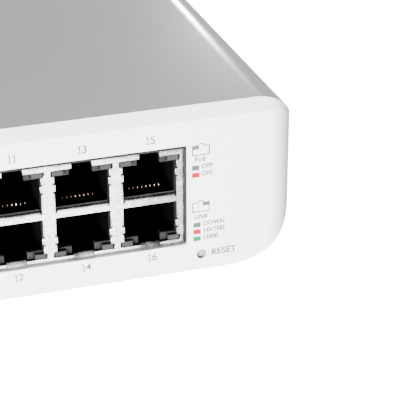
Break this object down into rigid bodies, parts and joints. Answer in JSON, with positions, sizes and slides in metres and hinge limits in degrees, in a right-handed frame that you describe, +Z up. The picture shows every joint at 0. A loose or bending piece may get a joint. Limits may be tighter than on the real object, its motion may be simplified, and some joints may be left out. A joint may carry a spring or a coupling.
{
  "type": "desktop network switch",
  "caption": "White two-part desktop box with two stacked blocks of network jacks in front, a mains inlet behind, rubber feet and a recessed reset button.",
  "frame": {"origin": "under the middle of the whole box, at the level of the soles of the feet", "axes": "+Z up, -Y towards the front face with the jacks, +X to the right as seen from the front"},
  "size_m": [0.192, 0.1892, 0.0437],
  "materials": {
    "case_white": "fine satin moulding, the same on both halves of the case",
    "foot_rubber": "matt dark grey rubber",
    "screw_steel": "plain zinc-plated steel",
    "shield_steel": "tinned sheet steel, bright on the front face",
    "jack_black": "black moulded nylon",
    "light_pipe": "cloudy clear plastic, grey while unlit",
    "board_green": "green solder mask",
    "chip_black": "black moulded package",
    "bare_aluminium": "plain extruded aluminium",
    "ferrite": "dark grey ferrite",
    "capacitor_sleeve": "dark shrink sleeve",
    "button_grey": "mid grey moulded plastic",
    "winding_tape": "yellow polyester tape over the windings",
    "fuse_ceramic": "off-white ceramic tube",
    "insulation": "translucent fibre sheet",
    "inlet_black": "black moulded plastic",
    "pin_brass": "nickel-washed brass blade",
    "lead_sleeve": "soft plastic wire sleeve"
  },
  "bodies": {
    "case": {"housing": "case_white", "top_cover": "case_white", "foot_front_left": "foot_rubber", "case_screw_front_left": "screw_steel", "foot_front_right": "foot_rubber", "case_screw_front_right": "screw_steel", "foot_rear_left": "foot_rubber", "case_screw_rear_left": "screw_steel", "foot_rear_right": "foot_rubber", "case_screw_rear_right": "screw_steel", "jack_shield_right": "shield_steel", "jack_frame_right": "jack_black", "contact_module_right_1": "jack_black", "contact_module_right_2": "jack_black", "contact_module_right_3": "jack_black", "contact_module_right_4": "jack_black", "light_pipes_right_upper": "light_pipe", "light_pipes_right_lower": "light_pipe", "jack_shield_left": "shield_steel", "jack_frame_left": "jack_black", "contact_module_left_1": "jack_black", "contact_module_left_2": "jack_black", "contact_module_left_3": "jack_black", "contact_module_left_4": "jack_black", "light_pipes_left_upper": "light_pipe", "light_pipes_left_lower": "light_pipe", "main_board": "board_green", "board_screw_front_left": "screw_steel", "board_screw_front_right": "screw_steel", "board_screw_rear_left": "screw_steel", "board_screw_rear_right": "screw_steel", "switch_chip": "chip_black", "switch_chip_heatsink": "bare_aluminium", "poe_controller_1": "chip_black", "poe_controller_2": "chip_black", "power_inductor_1": "ferrite", "power_inductor_2": "ferrite", "board_capacitor": "capacitor_sleeve", "reset_switch": "jack_black", "status_light_pipe": "light_pipe", "supply_board": "board_green", "supply_screw_front_left": "screw_steel", "supply_screw_front_right": "screw_steel", "supply_screw_rear_left": "screw_steel", "supply_screw_rear_right": "screw_steel", "mains_transformer": "winding_tape", "mains_choke": "ferrite", "mains_fuse": "fuse_ceramic", "bulk_capacitor": "capacitor_sleeve", "output_capacitor": "capacitor_sleeve", "rectifier_heatsink": "bare_aluminium", "insulating_sheet": "insulation", "mains_inlet": "inlet_black", "inlet_pin_live": "pin_brass", "inlet_pin_earth": "pin_brass", "inlet_pin_neutral": "pin_brass", "inlet_screw_left": "screw_steel", "inlet_screw_right": "screw_steel", "supply_lead": "lead_sleeve"},
    "reset_button": {"reset_button": "button_grey"}
  },
  "joints": [
    {"name": "reset_press", "type": "slide", "parent": "case", "child": "reset_button", "axis": [0, 1, 0], "range_m": [0, 0.0004], "stiffness_N_per_m": 2500, "springref_m": -0.0001}
  ]
}
